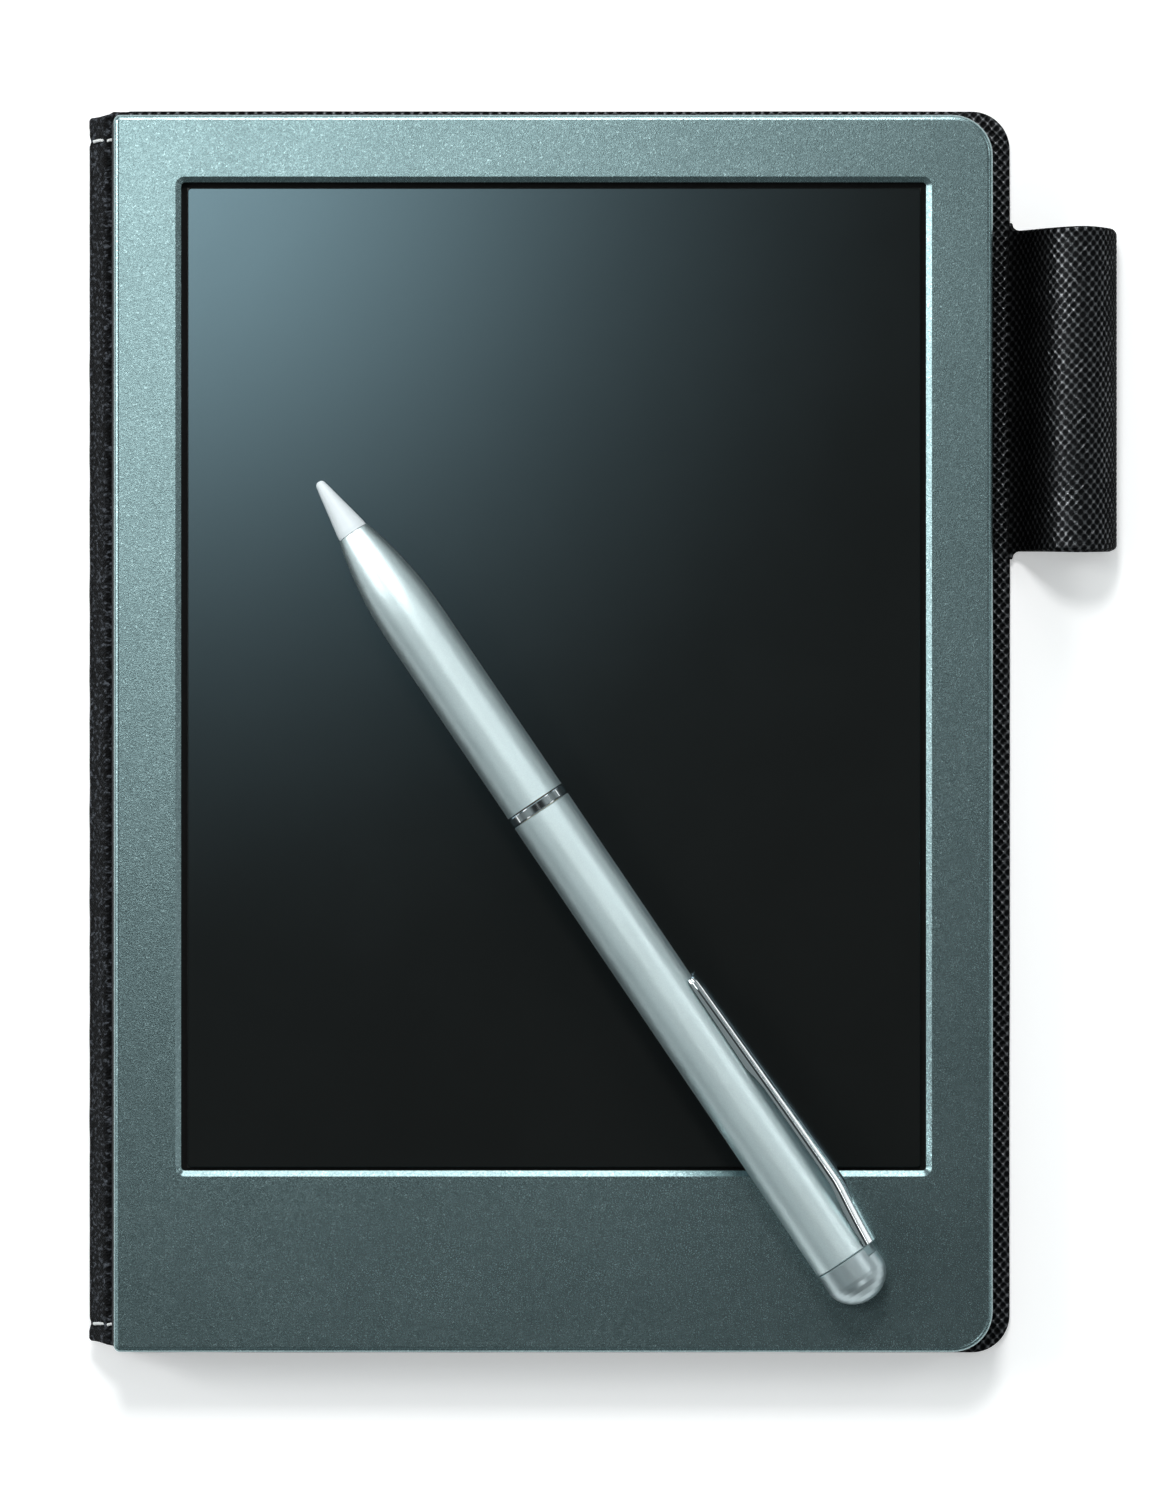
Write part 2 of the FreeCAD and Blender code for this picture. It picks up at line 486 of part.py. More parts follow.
# cap with domed end; its neck goes into the barrel
cap_r = PEN_R
capd = rev([(107.0, 2.3), (118.6, 2.3), (118.6, 0.0), (PEN_L, 0.0), (PEN_L - 0.02, 0.55), (PEN_L - 0.16, 1.25),
            (PEN_L - 0.45, 2.0), (PEN_L - 0.95, 2.75), (PEN_L - 1.6, 3.35), (PEN_L - 2.2, 3.72),
            (PEN_L - 2.75, 3.93), (PEN_L - 3.2, cap_r), (U_CAP + 0.1, cap_r), (U_CAP, 3.9), (U_CAP, 3.12),
            (107.0, 3.12)])
# mouth in the cap and barrel for the clip root
capd = capd.cut(Part.makeBox(1.5, 2.9, 0.9, V(U_CAP - 0.3, -1.45, 3.42)))
save("pen_cap", place(capd))

# clip: bent strip with a domed face and turned-down sides


def clip_section(u, h, rb, rt):
    """Closed outline across the clip at u: half width h, from rb up to a domed rt."""
    c = min(0.5, 0.62 * h, 0.72 * (rt - rb))
    k = math.sqrt(0.5)
    d = 0.10 * h
    e = [Part.makeLine(V(u, -h, rb), V(u, h, rb)),
         Part.makeLine(V(u, h, rb), V(u, h, rt - d - c)),
         Part.Arc(V(u, h, rt - d - c), V(u, h - c + c * k, rt - d - c + c * k), V(u, h - c, rt - d)).toShape(),
         Part.Arc(V(u, h - c, rt - d), V(u, 0, rt), V(u, -h + c, rt - d)).toShape(),
         Part.Arc(V(u, -h + c, rt - d), V(u, -h + c - c * k, rt - d - c + c * k), V(u, -h, rt - d - c)).toShape(),
         Part.makeLine(V(u, -h, rt - d - c), V(u, -h, rb))]
    return Part.Wire(e)


# u, half width, underside, face
CLIP = [(77.35, 0.55, 4.16, 4.5), (77.5, 0.78, 4.12, 4.72), (78.0, 0.95, 4.12, 4.9), (79.0, 1.02, 4.12, 5.0),
        (85.0, 1.08, 4.12, 5.2), (90.6, 1.14, 4.12, 5.38), (92.0, 1.16, 4.45, 5.42), (94.0, 1.18, 4.7, 5.48),
        (100.0, 1.28, 4.86, 5.68), (106.0, 1.42, 5.0, 5.86), (108.4, 1.47, 4.98, 5.9), (109.8, 1.5, 4.8, 5.78),
        (112.0, 1.54, 4.4, 5.48), (114.5, 1.56, 4.12, 5.16), (117.15, 1.56, 4.12, 4.86)]
clip = Part.makeLoft([clip_section(*q) for q in CLIP], True, True)
HOL = [(78.6, 0.5, 3.5, 4.5), (85.0, 0.6, 3.5, 4.7), (92.0, 0.7, 3.5, 4.95), (100.0, 0.82, 3.5, 5.2),
       (106.0, 0.95, 3.5, 5.38), (108.4, 1.0, 3.5, 5.4), (112.0, 1.05, 3.5, 4.95), (113.2, 1.05, 3.5, 4.7)]
hollow = Part.makeLoft([Part.makePolygon([V(u, -h, a), V(u, h, a), V(u, h, b), V(u, -h, b), V(u, -h, a)])
                        for u, h, a, b in HOL], True, True)
clip = clip.cut(hollow)
# keep clear of the barrel
clip = clip.cut(rev([(70.0, 0.0), (125.0, 0.0), (125.0, PEN_R + 0.06), (70.0, PEN_R + 0.06)]))
# tail turned down into the barrel
clip = clip.fuse(Part.makeBox(0.45, 2.3, 0.95, V(U_CAP - 0.75, -1.15, 3.4))).removeSplitter()
save("pen_clip", place(clip))
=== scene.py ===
import bpy
import json
import math
import random
import numpy as np
from mathutils import Vector, Matrix


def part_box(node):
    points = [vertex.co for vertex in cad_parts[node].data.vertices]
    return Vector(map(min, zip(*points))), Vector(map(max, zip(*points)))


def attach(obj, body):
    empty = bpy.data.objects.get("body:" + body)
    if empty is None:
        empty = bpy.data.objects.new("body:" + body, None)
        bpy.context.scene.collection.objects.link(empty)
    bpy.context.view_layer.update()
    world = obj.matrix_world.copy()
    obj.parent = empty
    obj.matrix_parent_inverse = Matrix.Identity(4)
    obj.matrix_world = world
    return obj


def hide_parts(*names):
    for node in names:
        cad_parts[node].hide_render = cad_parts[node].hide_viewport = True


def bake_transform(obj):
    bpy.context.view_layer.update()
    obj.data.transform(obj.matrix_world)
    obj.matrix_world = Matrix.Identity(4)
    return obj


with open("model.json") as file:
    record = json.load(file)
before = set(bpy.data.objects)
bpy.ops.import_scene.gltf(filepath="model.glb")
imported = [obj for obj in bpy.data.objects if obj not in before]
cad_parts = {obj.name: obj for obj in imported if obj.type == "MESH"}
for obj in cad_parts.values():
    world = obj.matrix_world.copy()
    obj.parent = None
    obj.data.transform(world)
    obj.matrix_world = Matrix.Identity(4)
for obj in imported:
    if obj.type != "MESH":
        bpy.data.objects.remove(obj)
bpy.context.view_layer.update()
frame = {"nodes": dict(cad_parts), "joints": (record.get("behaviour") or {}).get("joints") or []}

random.seed(11)
rng = np.random.default_rng(11)
MM = 0.001

# ----------------------------------------------------------------------------
# positions taken from the frame (all in mm from here on)
# ----------------------------------------------------------------------------


def bx(node):
    lo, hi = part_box(node)
    return [c / MM for c in lo], [c / MM for c in hi]


lea_lo, lea_hi = bx("cover_leather")
lin_lo, lin_hi = bx("cover_lining")
loop_lo, loop_hi = bx("pen_loop")
case_lo, case_hi = bx("rear_case")
bez_lo, bez_hi = bx("front_bezel")
gl_lo, gl_hi = bx("touch_panel")
up_lo, up_hi = bx("spine_upper_strip")
dn_lo, dn_hi = bx("spine_lower_strip")

J = {j["name"]: j for j in frame["joints"]}


def jpos(name):
    p = J[name]["pos_m"]
    return np.array([p[0] / MM, p[2] / MM])


H1, H2, H3 = jpos("spine_at_tablet"), jpos("cover_fold"), jpos("spine_at_cover")


# ----------------------------------------------------------------------------
# small mesh helpers
# ----------------------------------------------------------------------------


def new_mesh(name, verts, faces, smooth=True, uvs=None):
    """verts in mm; uvs one (u, v) per vertex, in mm."""
    me = bpy.data.meshes.new(name)
    me.from_pydata([tuple(float(c) * MM for c in v) for v in verts], [], faces)
    me.update()
    if smooth:
        me.polygons.foreach_set("use_smooth", [True] * len(me.polygons))
    if uvs is not None:
        lay = me.uv_layers.new(name="mm")
        idx = np.zeros(len(me.loops), dtype=np.int32)
        me.loops.foreach_get("vertex_index", idx)
        uv = np.asarray(uvs, dtype=np.float32)[idx]
        lay.data.foreach_set("uv", uv.ravel())
    ob = bpy.data.objects.new(name, me)
    bpy.context.scene.collection.objects.link(ob)
    return ob


def grid_faces(nu, nv, close_v=False, flip=False, off=0):
    f = []
    lim = nv if close_v else nv - 1
    for i in range(nu - 1):
        for j in range(lim):
            a = off + i * nv + j
            b = off + i * nv + (j + 1) % nv
            c = off + (i + 1) * nv + (j + 1) % nv
            d = off + (i + 1) * nv + j
            f.append((a, d, c, b) if flip else (a, b, c, d))
    return f


def resample(pts, step):
    """Points evenly spaced along a polyline (2-D)."""
    p = np.asarray(pts, float)
    d = np.r_[0, np.cumsum(np.linalg.norm(np.diff(p, axis=0), axis=1))]
    n = max(2, int(round(d[-1] / step)) + 1)
    t = np.linspace(0, d[-1], n)
    return np.c_[np.interp(t, d, p[:, 0]), np.interp(t, d, p[:, 1])]


def catmull(pts, per=12):
    """Smooth curve through the points."""
    p = [np.array(q, float) for q in pts]
    p = [2 * p[0] - p[1]] + p + [2 * p[-1] - p[-2]]
    out = []
    for i in range(1, len(p) - 2):
        p0, p1, p2, p3 = p[i - 1], p[i], p[i + 1], p[i + 2]
        for k in range(per):
            t = k / per
            out.append(0.5 * ((2 * p1) + (-p0 + p2) * t + (2 * p0 - 5 * p1 + 4 * p2 - p3) * t * t
                              + (-p0 + 3 * p1 - 3 * p2 + p3) * t ** 3))
    out.append(p[-2])
    return np.array(out)


def normals2d(p):
    """Unit normals (left of the direction of travel) of a 2-D polyline."""
    t = np.gradient(p, axis=0)
    t /= np.linalg.norm(t, axis=1)[:, None]
    return np.c_[-t[:, 1], t[:, 0]]


def rrect(x0, x1, y0, y1, rl, rr, na=24, nx=150, ny=210):
    """Rounded rectangle, fixed point count, counter-clockwise from the lower left."""
    pts = []

    def arc(cx, cy, r, a0, a1):
        for k in range(na):
            a = math.radians(a0 + (a1 - a0) * k / na)
            pts.append((cx + r * math.cos(a), cy + r * math.sin(a)))

    def line(a, b, n):
        for k in range(n):
            t = k / n
            pts.append((a[0] + (b[0] - a[0]) * t, a[1] + (b[1] - a[1]) * t))

    arc(x0 + rl, y0 + rl, rl, 180, 270)
    line((x0 + rl, y0), (x1 - rr, y0), nx)
    arc(x1 - rr, y0 + rr, rr, 270, 360)
    line((x1, y0 + rr), (x1, y1 - rr), ny)
    arc(x1 - rr, y1 - rr, rr, 0, 90)
    line((x1 - rr, y1), (x0 + rl, y1), nx)
    arc(x0 + rl, y1 - rl, rl, 90, 180)
    line((x0, y1 - rl), (x0, y0 + rl), ny)
    return np.array(pts)


def smooth_noise(n, scale, amp, seed):
    """Periodic smooth noise of n samples."""
    r = np.random.default_rng(seed)
    x = np.arange(n) / n
    out = np.zeros(n)
    for k in range(1, scale):
        out += r.normal() / (k ** 0.8) * np.sin(2 * math.pi * (k * x + r.random()))
    return amp * out / max(1e-9, np.abs(out).max())


# cross-grain embossing: two families of fine diagonal ridges
K1, P1 = (math.cos(math.radians(42)), -math.sin(math.radians(42))), 0.82
K2, P2 = (math.cos(math.radians(43)), math.sin(math.radians(43))), 0.90


def _vnoise(x, y, seed=3):
    """Cheap smooth value noise for arrays."""
    xi, yi = np.floor(x).astype(int), np.floor(y).astype(int)
    xf, yf = x - xi, y - yi
    xf, yf = xf * xf * (3 - 2 * xf), yf * yf * (3 - 2 * yf)

    def h(a, b):
        v = (a * 374761393 + b * 668265263 + seed * 144269) & 0xFFFFFFFF
        v = ((v ^ (v >> 13)) * 1274126177) & 0xFFFFFFFF
        return ((v ^ (v >> 16)) & 0xFFFF) / 65535.0

    a = h(xi, yi) * (1 - xf) + h(xi + 1, yi) * xf
    b = h(xi, yi + 1) * (1 - xf) + h(xi + 1, yi + 1) * xf
    return a * (1 - yf) + b * yf


def grain_height(u, v):
    """Height 0..1 of the cross-grain emboss at (u, v) in mm."""
    du = (_vnoise(u * 0.9, v * 0.9, 5) - 0.5) * 0.22
    dv = (_vnoise(u * 0.9, v * 0.9, 9) - 0.5) * 0.22
    u, v = u + du, v + dv
    p1 = (u * K1[0] + v * K1[1]) / P1
    p2 = (u * K2[0] + v * K2[1]) / P2
    r1 = 0.5 + 0.5 * np.cos(2 * math.pi * p1)
    r2 = 0.5 + 0.5 * np.cos(2 * math.pi * p2)
    r1, r2 = r1 ** 1.4, r2 ** 1.4
    return np.clip(0.55 * np.maximum(r1, r2) + 0.45 * r1 * r2, 0, 1)


# ----------------------------------------------------------------------------
# materials
# ----------------------------------------------------------------------------


class Mat:
    def __init__(self, name):
        self.m = bpy.data.materials.new(name)
        self.m.use_nodes = True
        self.nt = self.m.node_tree
        self.b = self.nt.nodes["Principled BSDF"]
        self.out = self.nt.nodes["Material Output"]
        self.tc = None

    def n(self, kind, **kw):
        nd = self.nt.nodes.new(kind)
        for k, v in kw.items():
            setattr(nd, k, v)
        return nd

    def link(self, a, b):
        self.nt.links.new(a, b)

    def set(self, **kw):
        for k, v in kw.items():
            s = self.b.inputs[k.replace("_", " ")]
            s.default_value = v
        return self

    def coord(self, kind="Object"):
        if self.tc is None:
            self.tc = self.n("ShaderNodeTexCoord")
        return self.tc.outputs[kind]

    def mapping(self, src, scale=(1, 1, 1), rot=(0, 0, 0)):
        mp = self.n("ShaderNodeMapping")
        mp.inputs["Scale"].default_value = scale
        mp.inputs["Rotation"].default_value = rot
        self.link(src, mp.inputs["Vector"])
        return mp.outputs["Vector"]

    def noise(self, vec, scale, detail=2.0, rough=0.5, dist=0.0):
        nd = self.n("ShaderNodeTexNoise")
        nd.inputs["Scale"].default_value = scale
        nd.inputs["Detail"].default_value = detail
        nd.inputs["Roughness"].default_value = rough
        nd.inputs["Distortion"].default_value = dist
        self.link(vec, nd.inputs["Vector"])
        return nd

    def voronoi(self, vec, scale, feature="F1", rand=1.0):
        nd = self.n("ShaderNodeTexVoronoi", feature=feature)
        nd.inputs["Scale"].default_value = scale
        nd.inputs["Randomness"].default_value = rand
        self.link(vec, nd.inputs["Vector"])
        return nd

    def math(self, op, a, b=None, clamp=False):
        nd = self.n("ShaderNodeMath", operation=op, use_clamp=clamp)
        for i, x in enumerate((a, b)):
            if x is None:
                continue
            if isinstance(x, (int, float)):
                nd.inputs[i].default_value = x
            else:
                self.link(x, nd.inputs[i])
        return nd.outputs[0]

    def vmath(self, op, a, b=None):
        nd = self.n("ShaderNodeVectorMath", operation=op)
        for i, x in enumerate((a, b)):
            if x is None:
                continue
            if isinstance(x, (tuple, list)):
                nd.inputs[i].default_value = x
            else:
                self.link(x, nd.inputs[i])
        return nd.outputs["Value"] if op == "DOT_PRODUCT" else nd.outputs["Vector"]

    def ramp(self, fac, stops):
        nd = self.n("ShaderNodeValToRGB")
        el = nd.color_ramp.elements
        el[0].position, el[0].color = stops[0][0], tuple(stops[0][1]) + (1,)
        el[1].position, el[1].color = stops[-1][0], tuple(stops[-1][1]) + (1,)
        for pos, col in stops[1:-1]:
            e = el.new(pos)
            e.color = tuple(col) + (1,)
        self.link(fac, nd.inputs["Fac"])
        return nd.outputs["Color"]

    def maprange(self, v, a, b, c, d):
        nd = self.n("ShaderNodeMapRange")
        for k, x in zip(("From Min", "From Max", "To Min", "To Max"), (a, b, c, d)):
            nd.inputs[k].default_value = x
        self.link(v, nd.inputs["Value"])
        return nd.outputs["Result"]

    def bump(self, height, dist_m, strength=1.0, chain=None):
        nd = self.n("ShaderNodeBump")
        nd.inputs["Strength"].default_value = strength
        nd.inputs["Distance"].default_value = dist_m
        self.link(height, nd.inputs["Height"])
        if chain is not None:
            self.link(chain, nd.inputs["Normal"])
        return nd.outputs["Normal"]

    def to(self, sock, out):
        self.link(out, self.b.inputs[sock])
        return self


def mat_bezel():
    """Fine metal-flake paint: one metallic lobe, the flakes given varied colour and tilted by a fine cell bump."""
    a = Mat("silver_flake_paint")
    c = a.coord()
    mm = a.mapping(c, (1000, 1000, 1000))
    grain = a.noise(mm, 6.5, 2.0, 0.7)
    cells = a.voronoi(mm, 5.4)
    pick = a.n("ShaderNodeSeparateColor")
    a.link(cells.outputs["Color"], pick.inputs[0])
    flake = a.maprange(pick.outputs[0], 0.0, 1.0, 0.84, 1.12)
    # one flake in fifteen or so stands out
    glint = a.maprange(pick.outputs[1], 0.90, 1.0, 0.0, 0.32)
    g2 = a.maprange(grain.outputs["Fac"], 0.3, 0.7, 0.88, 1.12)
    both = a.math("MULTIPLY", a.math("ADD", flake, glint), g2)
    blot = a.maprange(a.noise(mm, 0.06, 2.0).outputs["Fac"], 0.35, 0.65, 0.97, 1.03)
    both = a.math("MULTIPLY", both, blot)
    col = a.ramp(a.maprange(both, 0.4, 2.0, 0.0, 1.0),
                 [(0.0, (0.080, 0.112, 0.117)), (0.375, (0.228, 0.325, 0.336)), (1.0, (0.70, 0.92, 0.94))])
    a.set(Metallic=0.93, IOR=1.45)
    a.b.inputs["Specular IOR Level"].default_value = 0.3
    a.to("Base Color", col)
    rough = a.maprange(grain.outputs["Fac"], 0.3, 0.7, 0.25, 0.28)
    a.to("Roughness", rough)
    nrm = a.bump(cells.outputs["Distance"], 0.000016, 0.3)
    nrm = a.bump(grain.outputs["Fac"], 0.000012, 0.3, nrm)
    a.to("Normal", nrm)
    return a.m


def mat_screen():
    a = Mat("screen_film")
    c = a.coord()
    mm = a.mapping(c, (1000, 1000, 1000))
    smear = a.noise(mm, 0.07, 4.0, 0.6, 0.4)
    fine = a.noise(mm, 14.0, 1.0)
    col = a.ramp(smear.outputs["Fac"], [(0.3, (0.0086, 0.0090, 0.0084)), (0.7, (0.0094, 0.0098, 0.0092))])
    a.to("Base Color", col)
    r = a.maprange(smear.outputs["Fac"], 0.3, 0.7, 0.105, 0.115)
    a.to("Roughness", r)
    a.set(IOR=1.6)
    a.b.inputs["Specular Tint"].default_value = (0.66, 1.0, 1.16, 1)
    a.to("Normal", a.bump(fine.outputs["Fac"], 0.0000010, 0.4))
    return a.m


def saffiano_nodes(a, uv):
    """The same emboss as grain_height(), from a coordinate in mm."""
    nz = a.noise(uv, 0.9, 1.0)
    off = a.vmath("SUBTRACT", nz.outputs["Color"], (0.5, 0.5, 0.5))
    off = a.vmath("MULTIPLY", off, (0.32, 0.32, 0.0))
    uv = a.vmath("ADD", uv, off)
    rs = []
    for k, p in ((K1, P1), (K2, P2)):
        d = a.vmath("DOT_PRODUCT", uv, (k[0] / p * 2 * math.pi, k[1] / p * 2 * math.pi, 0.0))
        r = a.math("MULTIPLY_ADD", a.math("COSINE", d), 0.5)
        r.node.inputs[2].default_value = 0.5
        rs.append(a.math("POWER", r, 1.4))
    mx = a.math("MULTIPLY", a.math("MAXIMUM", rs[0], rs[1]), 0.55)
    pr = a.math("MULTIPLY", a.math("MULTIPLY", rs[0], rs[1]), 0.45)
    return a.math("ADD", mx, pr)


def mat_leather(name, use_uv, emboss=0.00024):
    a = Mat(name)
    if use_uv:
        uvn = a.n("ShaderNodeUVMap", uv_map="mm")
        uv = uvn.outputs["UV"]
    else:
        uv = a.mapping(a.coord(), (1000, 1000, 1000))
    h = saffiano_nodes(a, uv)
    fine = a.noise(uv, 9.0, 3.0, 0.6)
    wear = a.noise(uv, 0.22, 3.0)
    # a thin polished coat over black: hardly any reflection at a glancing angle
    # the colour ramp on the emboss height paints highlights on the ridge tops and paints shade in the valleys
    col = a.ramp(h, [(0.0, (0.006, 0.006, 0.0065)), (0.40, (0.010, 0.0104, 0.011)), (0.60, (0.044, 0.0455, 0.048)), (0.95, (0.145, 0.15, 0.157))])
    a.to("Base Color", col)
    r1 = a.maprange(h, 0.3, 0.9, 0.42, 0.29)
    r2 = a.math("ADD", r1, a.maprange(fine.outputs["Fac"], 0.3, 0.7, -0.03, 0.03))
    r3 = a.math("ADD", r2, a.maprange(wear.outputs["Fac"], 0.35, 0.7, -0.03, 0.04))
    a.to("Roughness", r3)
    a.set(IOR=1.5, Metallic=0.90)
    a.b.inputs["Specular Tint"].default_value = (0.12, 0.12, 0.12, 1)
    a.b.inputs["Specular IOR Level"].default_value = 0.3
    n1 = a.bump(h, emboss, 1.0)
    n2 = a.bump(fine.outputs["Fac"], 0.000025, 0.5, n1)
    a.to("Normal", n2)
    return a.m


def mat_cloth(name, use_uv, base=(0.0115, 0.0128, 0.0148), pitch=0.42):
    a = Mat(name)
    if use_uv:
        uv = a.n("ShaderNodeUVMap", uv_map="mm").outputs["UV"]
    else:
        uv = a.mapping(a.coord(), (1000, 1000, 1000))
    nz = a.noise(uv, 1.6, 2.0)
    off = a.vmath("MULTIPLY", a.vmath("SUBTRACT", nz.outputs["Color"], (0.5, 0.5, 0.5)), (0.10, 0.10, 0.0))
    uvd = a.vmath("ADD", uv, off)
    k = 2 * math.pi / pitch
    warp = a.math("SINE", a.vmath("DOT_PRODUCT", uvd, (k, 0.0, 0.0)))
    weft = a.math("SINE", a.vmath("DOT_PRODUCT", uvd, (0.0, k, 0.0)))
    over = a.math("MULTIPLY", warp, weft)
    aw = a.math("ABSOLUTE", warp)
    af = a.math("ABSOLUTE", weft)
    thread = a.math("MAXIMUM", a.math("MULTIPLY", aw, 0.8), a.math("MULTIPLY", af, 0.8))
    hgt = a.math("ADD", a.math("MULTIPLY", over, 0.35), thread)
    fuzz = a.noise(uv, 2.0, 2.0, 0.6)
    speck = a.voronoi(uv, 2.4)
    spk = a.n("ShaderNodeSeparateColor")
    a.link(speck.outputs["Color"], spk.inputs[0])
    hair = a.noise(uv, 6.0, 2.0, 0.7)
    hgt = a.math("ADD", hgt, a.math("MULTIPLY", fuzz.outputs["Fac"], 1.2))
    hgt = a.math("ADD", hgt, a.math("MULTIPLY", hair.outputs["Fac"], 0.4))
    tone = a.math("ADD", a.math("MULTIPLY", a.maprange(fuzz.outputs["Fac"], 0.32, 0.68, 0.0, 1.0), 0.55),
                  a.math("MULTIPLY", spk.outputs[0], 0.45))
    b = np.array(base)
    col = a.ramp(tone, [(0.28, tuple(b * 0.06)), (0.50, tuple(b * 0.38)), (0.64, tuple(b * 1.5)), (0.86, tuple(b * 7.0))])
    a.to("Base Color", col)
    a.set(Roughness=0.85)
    a.b.inputs["Specular IOR Level"].default_value = 0.12
    a.b.inputs["Sheen Weight"].default_value = 0.02
    a.b.inputs["Sheen Roughness"].default_value = 0.5
    a.b.inputs["Sheen Tint"].default_value = (0.75, 0.82, 0.9, 1)
    a.to("Normal", a.bump(hgt, 0.00014, 0.9))
    return a.m


def mat_thread():
    a = Mat("sewing_thread")
    mm = a.mapping(a.coord(), (1000, 1000, 1000))
    w = a.n("ShaderNodeTexWave", wave_type="BANDS", bands_direction="DIAGONAL")
    w.inputs["Scale"].default_value = 2.2
    w.inputs["Distortion"].default_value = 0.6
    a.link(mm, w.inputs["Vector"])
    nz = a.noise(mm, 12.0, 3.0)
    col = a.ramp(nz.outputs["Fac"], [(0.3, (0.62, 0.64, 0.64)), (0.7, (0.88, 0.89, 0.89))])
    a.to("Base Color", col)
    a.set(Roughness=0.62)
    a.b.inputs["Sheen Weight"].default_value = 0.3
    a.to("Normal", a.bump(w.outputs["Fac"], 0.00006, 0.7))
    return a.m


def mat_plastic(name, base, rough=0.5, grain=9.0, depth=0.000015, spec=0.5, metal=0.0, var=0.12):
    a = Mat(name)
    mm = a.mapping(a.coord(), (1000, 1000, 1000))
    nz = a.noise(mm, grain, 2.0, 0.6)
    big = a.noise(mm, 0.15, 3.0)
    b = np.array(base)
    col = a.ramp(big.outputs["Fac"], [(0.3, tuple(b * (1 - var))), (0.7, tuple(np.clip(b * (1 + var), 0, 1)))])
    a.to("Base Color", col)
    a.to("Roughness", a.maprange(nz.outputs["Fac"], 0.3, 0.7, rough * 0.9, rough * 1.1))
    a.b.inputs["Metallic"].default_value = metal
    a.b.inputs["Specular IOR Level"].default_value = spec
    a.to("Normal", a.bump(nz.outputs["Fac"], depth, 0.6))
    return a.m


def mat_metal(name, base, rough, grain=16.0, depth=0.000006, var=0.06, rvar=0.12, edge=1.0):
    a = Mat(name)
    mm = a.mapping(a.coord(), (1000, 1000, 1000))
    nz = a.noise(mm, grain, 3.0, 0.65)
    big = a.noise(mm, 0.12, 3.0)
    b = np.array(base)
    col = a.ramp(nz.outputs["Fac"], [(0.3, tuple(b * (1 - var))), (0.7, tuple(np.clip(b * (1 + var), 0, 1)))])
    a.to("Base Color", col)
    r = a.math("ADD", a.maprange(nz.outputs["Fac"], 0.3, 0.7, rough * (1 - rvar), rough * (1 + rvar)),
               a.maprange(big.outputs["Fac"], 0.3, 0.7, -0.015, 0.02))
    a.to("Roughness", r)
    a.set(Metallic=1.0)
    a.b.inputs["Specular Tint"].default_value = (edge, edge, edge, 1)
    a.to("Normal", a.bump(nz.outputs["Fac"], depth, 0.5))
    return a.m


M = {
    "bezel": mat_bezel(),
    "screen": mat_screen(),
    "leather": mat_leather("cross_grain_leather", False),
    "leather_uv": mat_leather("cross_grain_leather_loop", True, 0.00010),
    "cloth": mat_cloth("spine_cloth", True),
    "cloth_flat": mat_cloth("lining_cloth", False, (0.0110, 0.0122, 0.0138), 0.45),
    "thread": mat_thread(),
    "case": mat_plastic("case_plastic", (0.022, 0.023, 0.025), 0.55, 7.0, 0.00002),
    "foam": mat_plastic("black_foam", (0.004, 0.004, 0.004), 0.9, 6.0, 0.00004, 0.2),
    "key": mat_plastic("key_plastic", (0.02, 0.021, 0.022), 0.42, 9.0),
    "chip": mat_plastic("moulded_package", (0.015, 0.015, 0.016), 0.6, 10.0),
    "pcb": mat_plastic("solder_mask", (0.012, 0.07, 0.035), 0.35, 5.0, 0.00001),
    "flex": mat_plastic("amber_film", (0.30, 0.13, 0.02), 0.3, 5.0, 0.000004),
    "lcd": mat_plastic("lcd_panel", (0.02, 0.022, 0.021), 0.3, 5.0, 0.000004),
    "clear": mat_plastic("clear_light_pipe", (0.62, 0.64, 0.64), 0.25, 4.0, 0.000004),
    "board": mat_plastic("greyboard", (0.28, 0.25, 0.21), 0.9, 3.0, 0.00005, 0.2),
    "nib": mat_plastic("nib_plastic", (0.74, 0.80, 0.825), 0.45, 8.0, 0.000008, 0.5, 0.0, 0.04),
    "pen": mat_metal("satin_blasted_aluminium", (0.80, 0.93, 0.955), 0.43, 9.0, 0.000018, 0.08, 0.10, 0.12),
    "cap": mat_metal("satin_bright_cap", (0.56, 0.65, 0.67), 0.40, 14.0, 0.000006, 0.03, 0.10, 0.12),
    "chrome": mat_metal("bright_plating", (0.82, 0.85, 0.86), 0.07, 6.0, 0.000003, 0.02, 0.25),
    "steel": mat_metal("plated_steel", (0.55, 0.55, 0.56), 0.32, 9.0, 0.000008),
    "alu": mat_metal("pressed_sheet", (0.66, 0.67, 0.68), 0.4, 6.0, 0.00001),
    "brass": mat_metal("turned_brass", (0.72, 0.54, 0.24), 0.3, 12.0, 0.000006),
}

NODE_MATS = {
    "rear_case": "case", "front_bezel": "bezel", "touch_panel": "screen", "display_tape": "foam",
    "screen_gasket": "foam", "lcd_module": "lcd", "chassis_plate": "alu", "main_board": "pcb",
    "processor_chip": "chip", "memory_chips": "chip", "shield_can": "steel", "flex_connectors": "chip",
    "lcd_flex": "flex", "touch_flex": "flex", "battery_pack": "alu", "battery_lead": "chip",
    "usb_socket": "steel", "charge_led": "clear", "charge_light_pipe": "clear", "button_board": "pcb",
    "power_switch": "steel", "reset_switch": "steel", "reset_button": "key", "power_button": "key",
    "case_screws": "steel", "board_screws": "steel", "spine_clamp_bar": "case", "spine_anchor": "cloth_flat",
    "clamp_screws": "steel", "cover_board": "board", "pen_nib": "nib", "pen_front_barrel": "pen",
    "nib_holder": "brass", "pen_spigot": "brass", "pen_center_ring": "chrome", "pen_thread_insert": "brass",
    "pen_rear_barrel": "pen", "pen_cap": "cap", "pen_clip": "chrome",
}
for node, ob in frame["nodes"].items():
    key = NODE_MATS.get(node)
    if key is None:
        continue
    if not ob.material_slots:
        ob.data.materials.append(M[key])
    for s in ob.material_slots:
        s.material = M[key]


